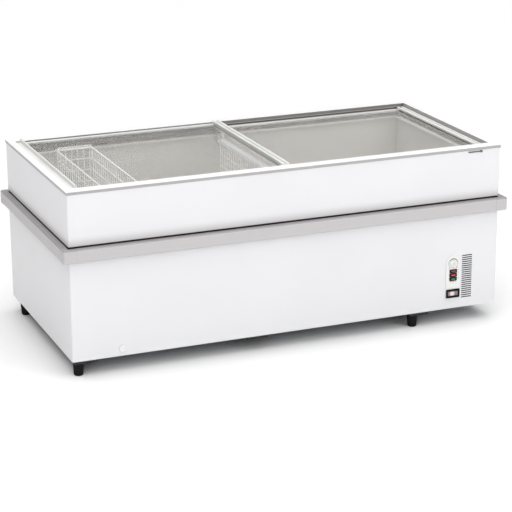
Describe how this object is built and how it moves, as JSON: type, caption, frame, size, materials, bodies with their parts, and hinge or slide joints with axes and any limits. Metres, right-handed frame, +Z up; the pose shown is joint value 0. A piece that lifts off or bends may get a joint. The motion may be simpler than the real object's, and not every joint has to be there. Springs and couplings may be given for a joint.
{
  "type": "chest freezer",
  "caption": "Long white island chest freezer with sliding glass lids, a grey bumper rail all round, a hanging basket, a tank divider and a front control panel, on black feet.",
  "frame": {"origin": "on the floor under the centre of the cabinet", "axes": "+X along the cabinet's length with the control panel at the +X end, -Y towards the customer's side with the controls, +Z up"},
  "size_m": [2.1646, 1.0746, 0.8606],
  "materials": {
    "white_steel": "satin",
    "galvanised_steel": "satin",
    "insulation_foam": "matte",
    "tank_lining": "satin",
    "copper": "satin",
    "throat_plastic": "matte",
    "trim_grey": "satin",
    "white_plastic": "satin",
    "glass": "polished",
    "bumper_grey": "satin",
    "black_steel": "satin",
    "black_plastic": "satin",
    "pipe_grey": "satin",
    "plug_rubber": "matte",
    "lens_red": "gloss",
    "lens_dark_red": "gloss",
    "lens_green": "gloss",
    "display_window": "gloss",
    "lever_steel": "satin",
    "white_wire": "satin",
    "aluminium": "satin"
  },
  "bodies": {
    "cabinet": {"upper_shell": "white_steel", "lower_front_panel": "white_steel", "lower_rear_panel": "white_steel", "lower_left_panel": "white_steel", "lower_right_panel": "white_steel", "base_pan": "galvanised_steel", "fan_motor": "galvanised_steel", "foam_insulation": "insulation_foam", "tank_liner": "tank_lining", "evaporator_coil": "copper", "filter_drier": "copper", "throat_ring": "throat_plastic", "ledge_trim": "trim_grey", "rim_front": "white_plastic", "rim_rear": "white_plastic", "rim_left": "white_plastic", "rim_right": "white_plastic", "bumper_front": "bumper_grey", "bumper_rear": "bumper_grey", "bumper_left": "bumper_grey", "bumper_right": "bumper_grey", "bumper_cap_front_left": "bumper_grey", "bumper_cap_front_right": "bumper_grey", "bumper_cap_rear_left": "bumper_grey", "bumper_cap_rear_right": "bumper_grey", "cross_rail_left": "black_steel", "cross_rail_middle": "black_steel", "cross_rail_right": "black_steel", "foot_front_left": "black_plastic", "foot_front_right": "black_plastic", "foot_rear_left": "black_plastic", "foot_rear_right": "black_plastic", "drain_pipe": "pipe_grey", "control_plate": "white_plastic", "indicator_housing": "black_plastic", "lamp_red": "lens_red", "lamp_green": "lens_green", "display_bezel": "black_plastic", "display_window": "display_window", "mains_inlet": "black_plastic", "compressor": "black_steel", "condenser": "aluminium"},
    "left_lid": {"left_lid_glass": "glass", "left_lid_runner_front": "white_plastic", "left_lid_runner_rear": "white_plastic", "left_lid_handle": "white_plastic", "left_lid_centre_grip": "white_plastic"},
    "right_lid": {"right_lid_glass": "glass", "right_lid_runner_front": "white_plastic", "right_lid_runner_rear": "white_plastic", "right_lid_seal_bar": "white_plastic", "right_lid_handle": "white_plastic"},
    "thermostat": {"thermostat_knob": "white_plastic"},
    "rocker": {"switch_rocker": "lens_dark_red"},
    "fan": {"fan_blade": "aluminium"},
    "drain_closure": {"drain_cap": "white_plastic"},
    "sump_plug": {"tank_plug": "plug_rubber"},
    "hanging_basket": {"basket": "white_wire"},
    "tank_divider": {"divider": "white_wire"},
    "catch": {"lock_lever": "lever_steel"}
  },
  "joints": [
    {"name": "left_lid_slide", "type": "slide", "parent": "cabinet", "child": "left_lid", "axis": [1, 0, 0], "range_m": [0, 1.008]},
    {"name": "right_lid_slide", "type": "slide", "parent": "cabinet", "child": "right_lid", "axis": [-1, 0, 0], "range_m": [0, 1.008]},
    {"name": "basket_slide", "type": "slide", "parent": "cabinet", "child": "hanging_basket", "axis": [1, 0, 0], "range_m": [-0.126, 0.374]},
    {"name": "divider_slide", "type": "slide", "parent": "cabinet", "child": "tank_divider", "axis": [1, 0, 0], "range_m": [-0.245, 0.605]},
    {"name": "thermostat_turn", "type": "hinge", "parent": "cabinet", "child": "thermostat", "pos_m": [0.818, -0.5086, 0.294], "axis": [0, 1, 0], "range_deg": [-135, 135]},
    {"name": "rocker_tip", "type": "hinge", "parent": "cabinet", "child": "rocker", "pos_m": [0.818, -0.5093, 0.2585], "axis": [0, 0, 1], "range_deg": [0, 13.5]},
    {"name": "catch_swing", "type": "hinge", "parent": "cabinet", "child": "catch", "pos_m": [0.949, -0.508, 0.827], "axis": [0, -1, 0], "range_deg": [0, 90]},
    {"name": "drain_cap_pull", "type": "slide", "parent": "cabinet", "child": "drain_closure", "axis": [0, -1, 0], "range_m": [0, 0.03]},
    {"name": "sump_plug_lift", "type": "slide", "parent": "cabinet", "child": "sump_plug", "axis": [0, 0, 1], "range_m": [0, 0.04]},
    {"name": "fan_spin", "type": "hinge", "parent": "cabinet", "child": "fan", "pos_m": [0.87825, -0.315, 0.1933], "axis": [0, -1, 0], "continuous": true}
  ]
}
